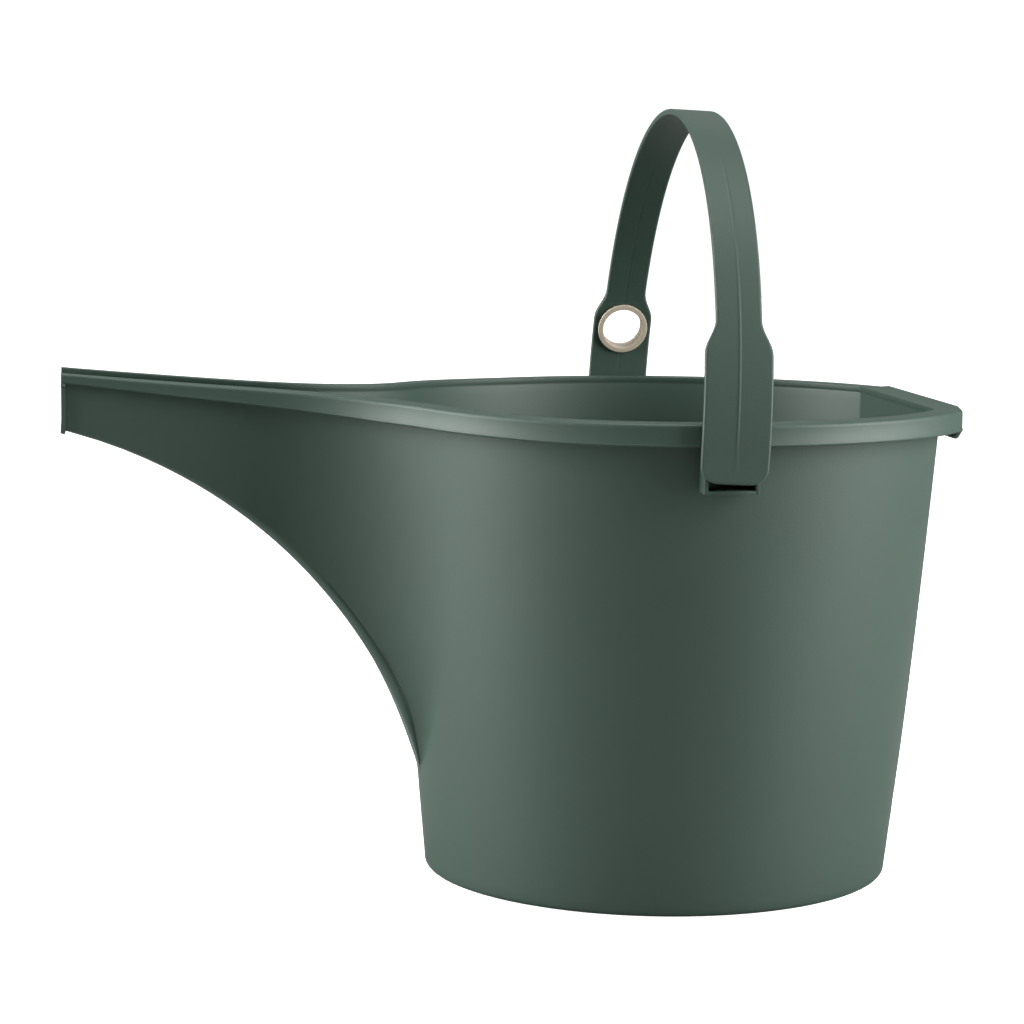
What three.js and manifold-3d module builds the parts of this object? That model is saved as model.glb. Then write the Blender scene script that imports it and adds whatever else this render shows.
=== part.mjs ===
// Moulded pouring pail: a plastic pail with a flat back, a long open spout, a swinging strap
// handle and a hanging eyelet. Millimetres, +Z up, spout towards -X, resting on z = 0.
import * as THREE from 'three';
import { mergeVertices } from 'three/addons/utils/BufferGeometryUtils.js';
import Module from 'manifold-3d';

const wasm = await Module();
wasm.setup();

// ---- driving dimensions -------------------------------------------------------------------
// Pail: a cone with a flat cut into its back, measured on the outside of the wall.
const RIM_HEIGHT = 240;
const BASE_RADIUS = 117.7;
const TOP_RADIUS = 143;
const TOP_CENTRE_X = 2.8; // the mouth sits slightly further back than the base
const BACK_FLAT_INSET = 20; // how far the flat cuts into the mouth's circle
const BASE_FLAT_INSET = 1; // and into the base's
const BACK_CORNER_RADIUS = 7;
const BASE_CORNER_RADIUS = 7;
const WALL = 2.4;
const FLOOR = 3;
const FOOT_RECESS = 3; // hollow under the floor, inside the foot ring
const FOOT_RING_WIDTH = 7;
const BASE_EDGE_RADIUS = 2.5;

// Spout: an open trough whose underside is one long arc in side view.
const SPOUT_REACH = 301; // tip, from the axis of the base
const SPOUT_HALF_WIDTH = 21;
const SPOUT_RISE = 13.7; // height of the tip's top edge above the rim
const SPOUT_RISE_START = 60; // where the top edge begins to rise, from the axis
const SPOUT_RISE_POWER = 1.45; // 1 would be a straight ramp, 2 a parabola
const SPOUT_ROOT_HEIGHT = 53; // where the underside leaves the pail's wall
const SPOUT_MOUTH_DEPTH = 28.1; // depth of the open end
const SPOUT_UNDERSIDE_RADIUS = 251;
const SPOUT_SHOULDER_HALF = 74; // half width at which the flank meets the round wall, at the rim
const SPOUT_WIDTH_GROWTH = 48; // height above the root by which the spout has its full width
const SPOUT_START = 1; // the root begins this far up that growth, so that it isn't a point
const SPOUT_EDGE_RADIUS = 6;
const TIP_LIP_THICKNESS = 2.2;
const TIP_LIP_HEIGHT = 1.8;

// Rim: a flange that folds down into a skirt.
const RIM_OVERHANG = 9.4;
const TIP_OVERHANG = 3;
const BACK_OVERHANG = 12.2; // straight gripping edge behind the flat back
const BACK_RAISE = 1; // its outer edge stands this much above the rim
const RIM_PLATE = 2.4;
const SKIRT_THICKNESS = 1.8;
const SKIRT_DROP = 10.8;
const TIP_SKIRT_DROP = 4.6;
const BACK_SKIRT_DROP = 15.5;
const RIM_EDGE_BEVEL = 1.2;
const RIM_INNER_LIP = 0.4;

// Handle: a flat strap bent to an arch, widening to a paddle at each pivot.
const PIVOT_BEHIND_CENTRE = 1.8; // from the middle of the mouth
const PIVOT_BELOW_RIM = 20;
const HANDLE_LEAN_DEG = 2.65;
const STRAP_WIDTH = 21.8;
const STRAP_THICKNESS = 3;
const PADDLE_WIDTH = 32.3;
const PADDLE_GAP = 2.2; // between the rim's skirt and the paddle
const PADDLE_TAIL = 7.5; // paddle below the pivot
const PADDLE_CORNER_RADIUS = 8.5;
const SHOULDER_LOW = 52; // paddle begins to narrow, above the pivot
const SHOULDER_HIGH = 67; // strap has its own width from here
const ARCH_SPRING = 9; // the arch begins this far above the pivot
const ARCH_RISE = 156; // from there to the outside of the apex
const STRAP_EDGE_BEVEL = 0.7;
const STUD_RADIUS = 4;
const STUD_CLEARANCE = 0.4;
const STUD_END_GAP = 1.5; // between the stud's end and the blind end of its socket
const SOCKET_FLOOR = 0.4; // the socket stops this far outside the pail's wall

// Pivot bracket: an open box of ribs with a blind socket, moulded below the rim.
const BRACKET_WIDTH = 26;
const BRACKET_DEPTH_BELOW_PIVOT = 12.6;
const BRACKET_RIB = 1.8;
const SOCKET_WALL = 2.4;
const BRACKET_INSET = 0.4; // the ribs stop this far inside the rim's skirt
const SOCKET_INSET = 1; // and the socket this far inside the ribs

// Eyelet: a sleeve with a flange inside the paddle, held by a snap ring outside it.
const EYELET_ABOVE_PIVOT = 47;
const EYELET_BORE_RADIUS = 10.9;
const EYELET_WALL = 1.5;
const EYELET_FLANGE_WIDTH = 1.3; // how far the flange stands out past the barrel
const EYELET_FLANGE_THICKNESS = 1.5;
const EYELET_BEYOND_STRAP = 3.5; // how far the barrel comes out of the strap's outer face
const EYELET_RING_WIDTH = 2.3;
const EYELET_RING_THICKNESS = 2.2;
const EYELET_EDGE = 0.4;
const EYELET_RING_EDGE = 0.6;
const FIT_GAP = 0.3;

// Worked out from the sizes above.
const PIVOT_X = TOP_CENTRE_X + PIVOT_BEHIND_CENTRE;
const PIVOT_HEIGHT = RIM_HEIGHT - PIVOT_BELOW_RIM;
const EYELET_BARREL_RADIUS = EYELET_BORE_RADIUS + EYELET_WALL;
const EYELET_FLANGE_RADIUS = EYELET_BARREL_RADIUS + EYELET_FLANGE_WIDTH;

// ---- colours ------------------------------------------------------------------------------
const GREEN = { color: 0x3c4f46, roughness: 0.5, metalness: 0 };
const BEIGE = { color: 0xa79f8d, roughness: 0.55, metalness: 0 };

// ---- solids: closed meshes in and out of manifold-3d ----------------------------------------
function toSolid(geometry) {
  const bare = geometry.clone();
  bare.deleteAttribute('normal');
  bare.deleteAttribute('uv');
  const merged = mergeVertices(bare, 1e-4);
  return new wasm.Manifold(new wasm.Mesh({
    numProp: 3,
    vertProperties: new Float32Array(merged.attributes.position.array),
    triVerts: new Uint32Array(merged.index.array),
  }));
}

function toMesh(name, solid, finish) {
  const { vertProperties, triVerts } = solid.getMesh();
  const geometry = new THREE.BufferGeometry();
  geometry.setAttribute('position', new THREE.BufferAttribute(new Float32Array(vertProperties), 3));
  geometry.setIndex(new THREE.BufferAttribute(new Uint32Array(triVerts), 1));
  geometry.computeVertexNormals();
  const mesh = new THREE.Mesh(geometry, new THREE.MeshStandardMaterial(finish));
  mesh.name = name;
  return mesh;
}

// A solid through rings of equal point counts, with a flat face at each end. `plan` gives the
// two coordinates in which an end ring is seen flat.
function loft(rings, plan) {
  const count = rings[0].length;
  const position = rings.flat().flatMap((p) => [p.x, p.y, p.z]);
  const index = [];
  for (let r = 0; r < rings.length - 1; r += 1) {
    for (let i = 0; i < count; i += 1) {
      const a = r * count + i;
      const b = r * count + ((i + 1) % count);
      index.push(a, b, b + count, a, b + count, a + count);
    }
  }
  const cap = (ring, first, facing) => {
    const flat = ring.map(plan);
    const turn = THREE.ShapeUtils.isClockWise(flat) ? -facing : facing;
    for (const [a, b, c] of THREE.ShapeUtils.triangulateShape(flat, [])) {
      index.push(...(turn > 0 ? [first + a, first + b, first + c] : [first + a, first + c, first + b]));
    }
  };
  cap(rings[0], 0, -1);
  cap(rings.at(-1), (rings.length - 1) * count, 1);
  const geometry = new THREE.BufferGeometry();
  geometry.setAttribute('position', new THREE.Float32BufferAttribute(position, 3));
  geometry.setIndex(index);
  return toSolid(geometry);
}

const fromAbove = (p) => new THREE.Vector2(p.x, p.y);
const clamp01 = (t) => Math.min(1, Math.max(0, t));
const mix = THREE.MathUtils.lerp;
const quarterEllipse = (t) => Math.sqrt(1 - (1 - clamp01(t)) ** 2);

// A straight run of points from one value to another, without the last.
const run = (from, to, steps) => Array.from({ length: steps }, (_, i) => from + (to - from) * i / steps);

// A cylinder whose axis runs along y from y0 to y1.
function barAlongY(radius, y0, y1, x, z, sides) {
  const geometry = new THREE.CylinderGeometry(radius, radius, Math.abs(y1 - y0), sides);
  geometry.translate(x, (y0 + y1) / 2, z);
  return geometry;
}

function box(x0, x1, y0, y1, z0, z1) {
  const geometry = new THREE.BoxGeometry(x1 - x0, y1 - y0, z1 - z0);
  geometry.translate((x0 + x1) / 2, (y0 + y1) / 2, (z0 + z1) / 2);
  return toSolid(geometry);
}

// ---- pail outline ---------------------------------------------------------------------------
// Circle, back flat and spout at height z, on the outside of the wall.
function pailSection(z) {
  const t = z / RIM_HEIGHT;
  const radius = mix(BASE_RADIUS, TOP_RADIUS, t);
  const centre = mix(0, TOP_CENTRE_X, t);
  const flat = centre + radius - mix(BASE_FLAT_INSET, BACK_FLAT_INSET, t);
  const corner = mix(BASE_CORNER_RADIUS, BACK_CORNER_RADIUS, t);
  return { radius, centre, flat, corner };
}

// The underside's arc passes through the root on the wall and the foot of the open end.
const underside = (() => {
  const root = pailSection(SPOUT_ROOT_HEIGHT);
  const a = new THREE.Vector2(root.centre - root.radius, SPOUT_ROOT_HEIGHT);
  const b = new THREE.Vector2(-SPOUT_REACH, RIM_HEIGHT + SPOUT_RISE - SPOUT_MOUTH_DEPTH);
  const middle = a.clone().add(b).multiplyScalar(0.5);
  const chord = b.clone().sub(a);
  const toCentre = Math.sqrt(SPOUT_UNDERSIDE_RADIUS ** 2 - (chord.length() / 2) ** 2);
  const across = new THREE.Vector2(-chord.y, chord.x).normalize();
  return middle.addScaledVector(across, toCentre);
})();

function undersideX(z, inset) {
  const reach = (SPOUT_UNDERSIDE_RADIUS + inset) ** 2 - (z - underside.y) ** 2;
  return underside.x + Math.sqrt(Math.max(reach, 0));
}

const NOSE_STEPS = 2;
const EDGE_STEPS = 3;
const FLANK_STEPS = 3;
const FILLET_STEPS = 6;
const ROUND_STEPS = 17;
const CORNER_STEPS = 3;
const FLAT_STEPS = 3;
const BEAK_STEPS = NOSE_STEPS + EDGE_STEPS + FLANK_STEPS + FILLET_STEPS;
const BEAK_ANGLE = 0.12; // below the root, the spout's points are spread over this part of the circle
const NOSE_CLEAR = 0.05; // least distance from the wall to the nose of a spout
const NOSE_ROUNDING = 0.3; // the nose's rounding takes at most this share of the flank
const NOSE_ROUNDING_ACROSS = 0.7; // and this share of the half width

// Flank and fillet of the spout at height z: the flank runs along x, and a fillet carries it into
// the round wall.
function spoutFlank(z) {
  const { radius, centre } = pailSection(z);
  const height = z - SPOUT_ROOT_HEIGHT + SPOUT_START;
  const tangentY = SPOUT_SHOULDER_HALF * quarterEllipse(height / (RIM_HEIGHT - SPOUT_ROOT_HEIGHT));
  const halfWidth = SPOUT_HALF_WIDTH * quarterEllipse(height / SPOUT_WIDTH_GROWTH);
  const sine = tangentY / radius;
  const fillet = (tangentY - halfWidth) / (1 - sine);
  const filletX = centre - (radius + fillet) * Math.sqrt(1 - sine * sine);
  return { halfWidth, fillet, filletX, angle: Math.asin(sine) };
}

// Half of the pail's outline at height z, from the spout's nose (or the wall's front) round the
// +y side to the middle of the back. `inset` moves it inwards, and `noseX` can fix the nose.
function halfOutline(z, inset, noseX = undersideX(z, inset)) {
  const { radius, centre, flat, corner } = pailSection(z);
  const r = radius - inset;
  const onWall = (a) => [centre - r * Math.cos(a), r * Math.sin(a)];
  const points = [];
  let start = BEAK_ANGLE;
  if (noseX < centre - r - NOSE_CLEAR && z > SPOUT_ROOT_HEIGHT) {
    const { halfWidth, fillet, filletX, angle } = spoutFlank(z);
    const arc = fillet + inset;
    const yAt = (x) => (x < filletX ? halfWidth - inset
      : halfWidth + fillet - Math.sqrt(Math.max(arc * arc - (x - filletX) ** 2, 0)));
    const tangentX = centre - r * Math.cos(angle);
    const room = Math.min(NOSE_ROUNDING * (tangentX - noseX), NOSE_ROUNDING_ACROSS * yAt(noseX));
    const edge = Math.min(SPOUT_EDGE_RADIUS, room);
    const cornerEnd = new THREE.Vector2(noseX + edge, yAt(noseX + edge));
    const cornerStart = new THREE.Vector2(noseX, cornerEnd.y - edge);
    const rounding = new THREE.QuadraticBezierCurve(
      cornerStart, new THREE.Vector2(noseX, cornerEnd.y), cornerEnd);
    for (const y of run(0, cornerStart.y, NOSE_STEPS)) points.push([noseX, y]);
    for (const t of run(0, 1, EDGE_STEPS)) points.push(rounding.getPoint(t).toArray());
    const arcStart = Math.max(cornerEnd.x, filletX);
    for (const x of run(cornerEnd.x, arcStart, FLANK_STEPS)) points.push([x, yAt(x)]);
    const from = Math.asin((arcStart - filletX) / arc);
    for (const a of run(from, Math.PI / 2 - angle, FILLET_STEPS)) {
      points.push([filletX + arc * Math.sin(a), halfWidth + fillet - arc * Math.cos(a)]);
    }
    start = angle;
  } else {
    for (const a of run(0, start, BEAK_STEPS)) points.push(onWall(a));
  }
  const cornerRadius = corner - inset;
  const cornerX = flat - inset - cornerRadius;
  const cornerY = Math.sqrt((r - cornerRadius) ** 2 - (cornerX - centre) ** 2);
  const end = Math.PI - Math.atan2(cornerY, cornerX - centre);
  for (const a of run(start, end, ROUND_STEPS)) points.push(onWall(a));
  for (const a of run(Math.PI - end, 0, CORNER_STEPS)) {
    points.push([cornerX + cornerRadius * Math.cos(a), cornerY + cornerRadius * Math.sin(a)]);
  }
  for (const y of run(cornerY, 0, FLAT_STEPS)) points.push([cornerX + cornerRadius, y]);
  points.push([cornerX + cornerRadius, 0]);
  return points;
}

// The whole outline as a counter-clockwise ring.
function ring(z, inset, height = z) {
  const half = halfOutline(z, inset);
  const mirrored = half.slice(1, -1).reverse().map(([x, y]) => [x, -y]);
  return [...half, ...mirrored].reverse().map(([x, y]) => new THREE.Vector3(x, y, height));
}

// ---- pail body --------------------------------------------------------------------------------
// Height of the rim's top face at x: level round the pail, rising along the spout.
function rimTop(x) {
  const share = Math.max(0, (-x - SPOUT_RISE_START) / (SPOUT_REACH - SPOUT_RISE_START));
  return RIM_HEIGHT + SPOUT_RISE * share ** SPOUT_RISE_POWER;
}

const TRIM = 6; // how far a shape runs past the face that trims it
const shellTop = RIM_HEIGHT + SPOUT_RISE + TRIM;
const floorTop = FOOT_RECESS + FLOOR;
const SPOUT_LEVELS = 17;
const spoutLevels = run(0, 1, SPOUT_LEVELS).slice(1)
  .map((share) => mix(SPOUT_ROOT_HEIGHT, RIM_HEIGHT, share ** 1.3)); // closer together at the root
const rootLevels = [SPOUT_ROOT_HEIGHT / 2, SPOUT_ROOT_HEIGHT, SPOUT_ROOT_HEIGHT + SPOUT_START];
const wallLevels = [...rootLevels, ...spoutLevels];

function outerSolid() {
  const edge = [...run(0, Math.PI / 2, 3), Math.PI / 2].map((angle) => (
    ring(0, BASE_EDGE_RADIUS * (1 - Math.sin(angle)), BASE_EDGE_RADIUS * (1 - Math.cos(angle)))
  ));
  const levels = [...wallLevels, RIM_HEIGHT, shellTop];
  return loft([...edge, ...levels.map((z) => ring(z, 0))], fromAbove);
}

function innerSolid() {
  const levels = [floorTop, ...wallLevels, RIM_HEIGHT, shellTop + TRIM];
  return loft(levels.map((z) => ring(z, WALL)), fromAbove);
}

// Everything above the rim's top face, lowered by `sink`.
function aboveRim(sink) {
  const back = TOP_RADIUS * 2;
  const front = -SPOUT_REACH - 2 * TRIM;
  const stations = [back, ...run(-SPOUT_RISE_START, front, 16), front];
  const high = shellTop + 3 * TRIM;
  const side = new THREE.Shape([
    ...stations.map((x) => new THREE.Vector2(x, rimTop(x) - sink)),
    new THREE.Vector2(front, high),
    new THREE.Vector2(back, high),
  ]);
  const width = TOP_RADIUS * 4;
  const geometry = new THREE.ExtrudeGeometry(side, { depth: width, bevelEnabled: false });
  geometry.rotateX(Math.PI / 2);
  geometry.translate(0, width / 2, 0);
  return toSolid(geometry);
}

// One wall-to-skirt section of the rim at a point of the path, `out` being the way outwards.
function rimSection(point, out, { overhang, drop, raise }) {
  const top = rimTop(point[0]);
  const edge = top + raise;
  const inside = -(WALL + RIM_INNER_LIP);
  const profile = [
    [inside, top], [overhang - RIM_EDGE_BEVEL, edge], [overhang, edge - RIM_EDGE_BEVEL],
    [overhang, top - drop], [overhang - SKIRT_THICKNESS, top - drop],
    [overhang - SKIRT_THICKNESS, top - RIM_PLATE], [inside, top - RIM_PLATE],
  ];
  return profile.map(([d, z]) => new THREE.Vector3(point[0] + out.x * d, point[1] + out.y * d, z));
}

// How the rim stands at a point of the path. In plan its outer edge is a circle round the mouth,
// cut off straight behind the flat back.
function rimSizes([x, y], out) {
  const { centre, flat } = pailSection(RIM_HEIGHT);
  if (x < centre) {
    const towardsTip = clamp01((-x - TOP_RADIUS) / (SPOUT_REACH - TOP_RADIUS));
    const overhang = mix(RIM_OVERHANG, TIP_OVERHANG, towardsTip);
    return { overhang, drop: mix(SKIRT_DROP, TIP_SKIRT_DROP, towardsTip), raise: 0 };
  }
  const outer = TOP_RADIUS + RIM_OVERHANG;
  const along = (x - centre) * out.x + y * out.y;
  const across = (x - centre) * out.y - y * out.x;
  const toCircle = Math.sqrt(outer * outer - across * across) - along;
  const toBack = out.x > 0 ? (flat + BACK_OVERHANG - x) / out.x : Infinity;
  if (toCircle < toBack) return { overhang: toCircle, drop: SKIRT_DROP, raise: 0 };
  return { overhang: toBack, drop: BACK_SKIRT_DROP, raise: BACK_RAISE };
}

// The rim runs from the spout's tip round the pail and back to the tip.
function rimSolid() {
  const half = halfOutline(RIM_HEIGHT, 0, -SPOUT_REACH).slice(NOSE_STEPS + EDGE_STEPS);
  half[0] = [-SPOUT_REACH, half[0][1]];
  const path = [...half, ...half.slice(0, -1).reverse().map(([x, y]) => [x, -y])];
  const sections = path.map((point, i) => {
    const before = path[Math.max(i - 1, 0)];
    const after = path[Math.min(i + 1, path.length - 1)];
    const out = new THREE.Vector2(-(after[1] - before[1]), after[0] - before[0]).normalize();
    return rimSection(point, out, rimSizes(point, out));
  });
  return loft(sections.reverse(), (p) => new THREE.Vector2(Math.abs(p.y), p.z));
}

// A thin collar round the outside of the spout's open end.
function tipLip() {
  const foot = RIM_HEIGHT + SPOUT_RISE - SPOUT_MOUTH_DEPTH - TIP_LIP_HEIGHT;
  const half = SPOUT_HALF_WIDTH + TIP_LIP_HEIGHT;
  const r = SPOUT_EDGE_RADIUS + TIP_LIP_HEIGHT;
  const top = rimTop(-SPOUT_REACH);
  const face = new THREE.Shape();
  face.moveTo(-half, top);
  face.lineTo(-half, foot + r);
  face.absarc(-half + r, foot + r, r, Math.PI, Math.PI * 1.5, false);
  face.absarc(half - r, foot + r, r, -Math.PI / 2, 0, false);
  face.lineTo(half, top);
  face.closePath();
  const options = { depth: TIP_LIP_THICKNESS, bevelEnabled: false, curveSegments: 4 };
  const geometry = new THREE.ExtrudeGeometry(face, options);
  geometry.rotateX(Math.PI / 2);
  geometry.rotateZ(Math.PI / 2);
  geometry.translate(-SPOUT_REACH, 0, 0);
  return toSolid(geometry);
}

// Where the rim's skirt ends outwards at the pivots, and the paddle's inner face beyond it.
const ROUND_SIDES = 24;
const socketEndY = pailSection(PIVOT_HEIGHT).radius + SOCKET_FLOOR;
const skirtY = TOP_RADIUS + RIM_OVERHANG;
const paddleInnerY = skirtY + PADDLE_GAP;

// Ribs and blind socket that carry one end of the handle; side is +1 or -1.
function pivotBracket(side) {
  const outer = skirtY - BRACKET_INSET;
  const inner = BASE_RADIUS; // inside the wall; the bore of the pail trims it
  const low = PIVOT_HEIGHT - BRACKET_DEPTH_BELOW_PIVOT;
  const high = RIM_HEIGHT - RIM_PLATE / 2;
  const x0 = PIVOT_X - BRACKET_WIDTH / 2;
  const x1 = PIVOT_X + BRACKET_WIDTH / 2;
  const y0 = side > 0 ? inner : -outer;
  const y1 = side > 0 ? outer : -inner;
  const left = box(x0, x0 + BRACKET_RIB, y0, y1, low, high);
  const right = box(x1 - BRACKET_RIB, x1, y0, y1, low, high);
  const floor = box(x0, x1, y0, y1, low, low + BRACKET_RIB);
  const bore = STUD_RADIUS + STUD_CLEARANCE;
  const end = side * (outer - SOCKET_INSET);
  const socket = barAlongY(bore + SOCKET_WALL, side * inner, end, PIVOT_X, PIVOT_HEIGHT, ROUND_SIDES);
  return left.add(right).add(floor).add(toSolid(socket));
}

function socketBore(side) {
  const bore = STUD_RADIUS + STUD_CLEARANCE;
  const mouth = side * (skirtY + TRIM);
  return toSolid(barAlongY(bore, side * socketEndY, mouth, PIVOT_X, PIVOT_HEIGHT, ROUND_SIDES));
}

function pailBody() {
  const inner = innerSolid();
  let shell = outerSolid().add(tipLip()).add(pivotBracket(1)).add(pivotBracket(-1)).subtract(inner);
  shell = shell.subtract(socketBore(1)).subtract(socketBore(-1));
  const far = SPOUT_REACH * 2;
  const beyondTip = box(-far, -SPOUT_REACH, -far, far, -TRIM, shellTop + 2 * TRIM);
  shell = shell.subtract(beyondTip).subtract(aboveRim(RIM_PLATE / 2));
  const hollow = BASE_RADIUS - FOOT_RING_WIDTH;
  const recess = new THREE.CylinderGeometry(hollow, hollow, FOOT_RECESS * 2, 64);
  recess.rotateX(Math.PI / 2);
  return toMesh('pail_body', shell.add(rimSolid()).subtract(toSolid(recess)), GREEN);
}

// ---- handle -------------------------------------------------------------------------------------
// The strap's middle line in its own upright plane: straight at the paddle's foot, then an arch.
const archHalf = paddleInnerY + STRAP_THICKNESS / 2;
const archRise = ARCH_RISE - STRAP_THICKNESS / 2;
function archPoint(angle) {
  return new THREE.Vector2(archHalf * Math.cos(angle), ARCH_SPRING + archRise * Math.sin(angle));
}

function strapWidth(height) {
  const narrowing = THREE.MathUtils.smoothstep(height, SHOULDER_LOW, SHOULDER_HIGH);
  const width = PADDLE_WIDTH + (STRAP_WIDTH - PADDLE_WIDTH) * narrowing;
  const fromEnd = height + PADDLE_TAIL;
  if (fromEnd >= PADDLE_CORNER_RADIUS) return width;
  const r = PADDLE_CORNER_RADIUS;
  return width - 2 * (r - Math.sqrt(r * r - (r - fromEnd) ** 2));
}

// One bevelled rectangular section, across the middle line at `point`, `out` being outwards.
function strapSection(point, out) {
  const half = strapWidth(point.y) / 2;
  const depth = STRAP_THICKNESS / 2;
  const b = STRAP_EDGE_BEVEL;
  const corners = [
    [-half, -depth + b], [-half + b, -depth], [half - b, -depth], [half, -depth + b],
    [half, depth - b], [half - b, depth], [-half + b, depth], [-half, depth - b],
  ];
  return corners.map(([x, d]) => new THREE.Vector3(x, point.x + out.x * d, point.y + out.y * d));
}

function handleSolid() {
  const outwards = new THREE.Vector2(1, 0);
  const foot = [0.02, 0.1, 0.28, 0.6, 1].map((t) => -PADDLE_TAIL + t * PADDLE_CORNER_RADIUS);
  const half = foot.map((height) => strapSection(new THREE.Vector2(archHalf, height), outwards));
  const angleAt = (height) => Math.asin(clamp01((height - ARCH_SPRING) / archRise));
  const low = angleAt(SHOULDER_LOW - 1);
  const high = angleAt(SHOULDER_HIGH + 1);
  const along = [...run(0, low, 4), ...run(low, high, 7), ...run(high, Math.PI / 2, 13), Math.PI / 2];
  for (const angle of along) {
    const out = new THREE.Vector2(Math.cos(angle) * archRise, Math.sin(angle) * archHalf).normalize();
    half.push(strapSection(archPoint(angle), out));
  }
  const mirrored = (section) => section.map((p) => new THREE.Vector3(p.x, -p.y, p.z));
  const other = half.slice(0, -1).reverse().map(mirrored);
  const strap = loft([...half, ...other], (p) => new THREE.Vector2(p.x, Math.abs(p.y)));
  const studEnd = socketEndY + STUD_END_GAP;
  const stud = (side) => toSolid(barAlongY(STUD_RADIUS, side * studEnd, side * archHalf, 0, 0, ROUND_SIDES));
  return strap.add(stud(1)).add(stud(-1));
}

// ---- eyelet ---------------------------------------------------------------------------------------
// Its axis stands square to the strap at its own height.
const eyeletAngle = Math.asin((EYELET_ABOVE_PIVOT - ARCH_SPRING) / archRise);
const eyeletCentre = archPoint(eyeletAngle);
const eyeletTilt = Math.atan2(Math.sin(eyeletAngle) * archHalf, Math.cos(eyeletAngle) * archRise);

const EYELET_SIDES = 40;

// Turns a lathe (about +y, y = 0 in the strap's middle, +y outwards) into the handle's plane.
function placeEyelet(geometry) {
  geometry.rotateX(eyeletTilt);
  geometry.translate(0, eyeletCentre.x, eyeletCentre.y);
  return toSolid(geometry);
}

function latheRing(points) {
  return new THREE.LatheGeometry(points.map(([r, y]) => new THREE.Vector2(r, y)), EYELET_SIDES);
}

// The strap is hollow on the inside, so the flat flange bears on it at the rim.
const strapHollow = EYELET_FLANGE_RADIUS ** 2 / (2 * Math.min(archHalf, archRise));
const innerFace = -STRAP_THICKNESS / 2 - strapHollow - FIT_GAP;
const outerFace = STRAP_THICKNESS / 2 + FIT_GAP;
const eyeletFront = innerFace - EYELET_FLANGE_THICKNESS;

function eyeletSleeve() {
  const back = STRAP_THICKNESS / 2 + EYELET_BEYOND_STRAP;
  const e = EYELET_EDGE;
  const bore = EYELET_BORE_RADIUS;
  const barrel = EYELET_BARREL_RADIUS;
  const flange = EYELET_FLANGE_RADIUS;
  const profile = [
    [bore + e, eyeletFront], [flange - e, eyeletFront], [flange, eyeletFront + e], [flange, innerFace],
    [barrel, innerFace], [barrel, back - e], [barrel - e, back], [bore + e, back], [bore, back - e],
    [bore, eyeletFront + e], [bore + e, eyeletFront],
  ];
  return placeEyelet(latheRing(profile));
}

function eyeletRing() {
  const inner = EYELET_BARREL_RADIUS + FIT_GAP;
  const outer = inner + EYELET_RING_WIDTH;
  const back = outerFace + EYELET_RING_THICKNESS;
  const e = EYELET_RING_EDGE;
  const profile = [
    [inner, outerFace], [outer, outerFace], [outer, back - e], [outer - e, back], [inner, back],
    [inner, outerFace],
  ];
  return placeEyelet(latheRing(profile));
}

// ---- assembly -----------------------------------------------------------------------------------
const group = new THREE.Group();

// The origin lies under the middle of the whole outline, so the pail moves back along x.
const backEdge = pailSection(RIM_HEIGHT).flat + BACK_OVERHANG;
const pail = new THREE.Group();
pail.position.x = (SPOUT_REACH - backEdge) / 2;
group.add(pail);
pail.add(pailBody());

const bail = new THREE.Group();
bail.position.set(PIVOT_X, 0, PIVOT_HEIGHT);
bail.rotation.y = THREE.MathUtils.degToRad(HANDLE_LEAN_DEG);
pail.add(bail);
const holeRadius = EYELET_BARREL_RADIUS + FIT_GAP;
const eyeletHole = new THREE.CylinderGeometry(holeRadius, holeRadius, STRAP_THICKNESS * 4, EYELET_SIDES);
bail.add(toMesh('handle', handleSolid().subtract(placeEyelet(eyeletHole)), GREEN));
bail.add(toMesh('eyelet_sleeve', eyeletSleeve(), BEIGE));
bail.add(toMesh('eyelet_snap_ring', eyeletRing(), BEIGE));

export default group;
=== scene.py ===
import math

import bmesh
import bpy
from mathutils import Matrix, Vector


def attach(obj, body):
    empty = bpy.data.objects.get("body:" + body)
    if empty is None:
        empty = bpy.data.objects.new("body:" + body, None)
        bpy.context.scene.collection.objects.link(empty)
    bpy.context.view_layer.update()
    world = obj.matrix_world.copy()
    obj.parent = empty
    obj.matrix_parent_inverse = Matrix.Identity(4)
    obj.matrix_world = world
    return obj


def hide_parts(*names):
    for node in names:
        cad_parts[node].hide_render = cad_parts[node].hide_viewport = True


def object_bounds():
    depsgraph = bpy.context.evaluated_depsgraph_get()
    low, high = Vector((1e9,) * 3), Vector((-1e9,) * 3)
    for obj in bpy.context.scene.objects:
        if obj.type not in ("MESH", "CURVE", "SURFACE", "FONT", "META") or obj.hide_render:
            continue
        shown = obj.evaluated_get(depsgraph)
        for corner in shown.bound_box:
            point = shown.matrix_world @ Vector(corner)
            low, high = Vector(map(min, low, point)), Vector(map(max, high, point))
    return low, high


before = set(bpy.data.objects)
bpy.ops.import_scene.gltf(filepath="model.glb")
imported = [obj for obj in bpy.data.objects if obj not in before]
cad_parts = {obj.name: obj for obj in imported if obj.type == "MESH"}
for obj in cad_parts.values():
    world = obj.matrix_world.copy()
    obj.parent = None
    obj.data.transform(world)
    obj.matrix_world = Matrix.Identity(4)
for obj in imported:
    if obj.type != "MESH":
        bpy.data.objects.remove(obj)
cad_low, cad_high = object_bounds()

# A moulded pouring pail: round pail with a flat back, long open spout, strap handle and eyelet.
# Shapes are made in millimetres about the axis of the pail's base, then set in metres in the frame.


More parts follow.
